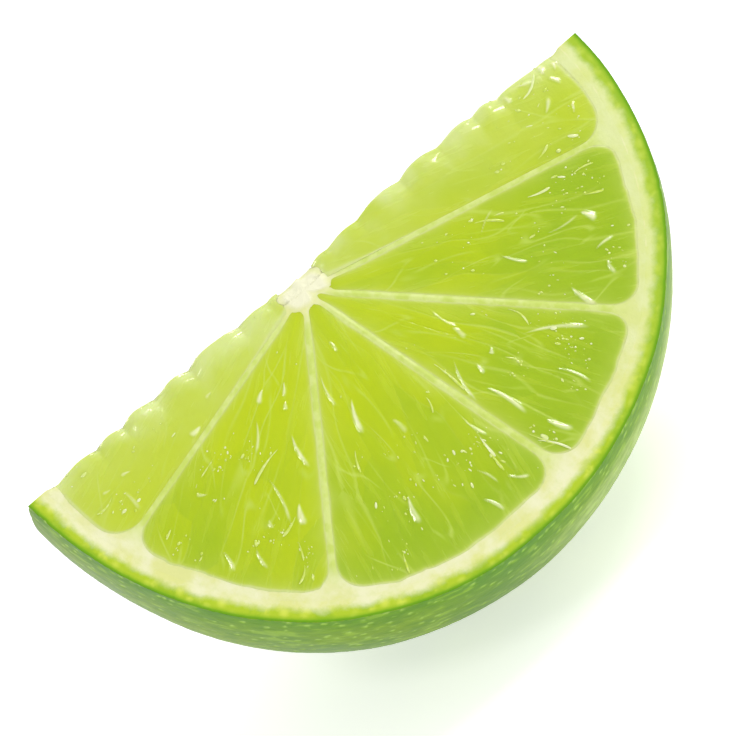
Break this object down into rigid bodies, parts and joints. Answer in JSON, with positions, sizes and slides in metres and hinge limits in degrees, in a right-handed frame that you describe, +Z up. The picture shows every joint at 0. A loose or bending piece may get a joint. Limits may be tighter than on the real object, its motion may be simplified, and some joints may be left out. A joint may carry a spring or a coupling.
{
  "type": "lime wedge",
  "caption": "Fresh lime cut across and then lengthwise, lying on its green rind with the juicy half-round cut face turned up and forward.",
  "frame": {"origin": "on the resting plane, under the middle of the piece's bounding box", "axes": "+X along the straight edge where the two cuts meet, +Y away from the half-round cross cut towards the fruit's flower end, +Z up from the flat spot on the rind"},
  "size_m": [0.0524, 0.041, 0.029],
  "materials": {
    "rind": "satin green skin with fine oil-gland dimples",
    "pith": "moist cream pith, membranes and core",
    "pulp": "wet, slightly translucent yellow-green juice sacs"
  },
  "bodies": {
    "root": {"lime_wedge": "rind"}
  },
  "joints": []
}
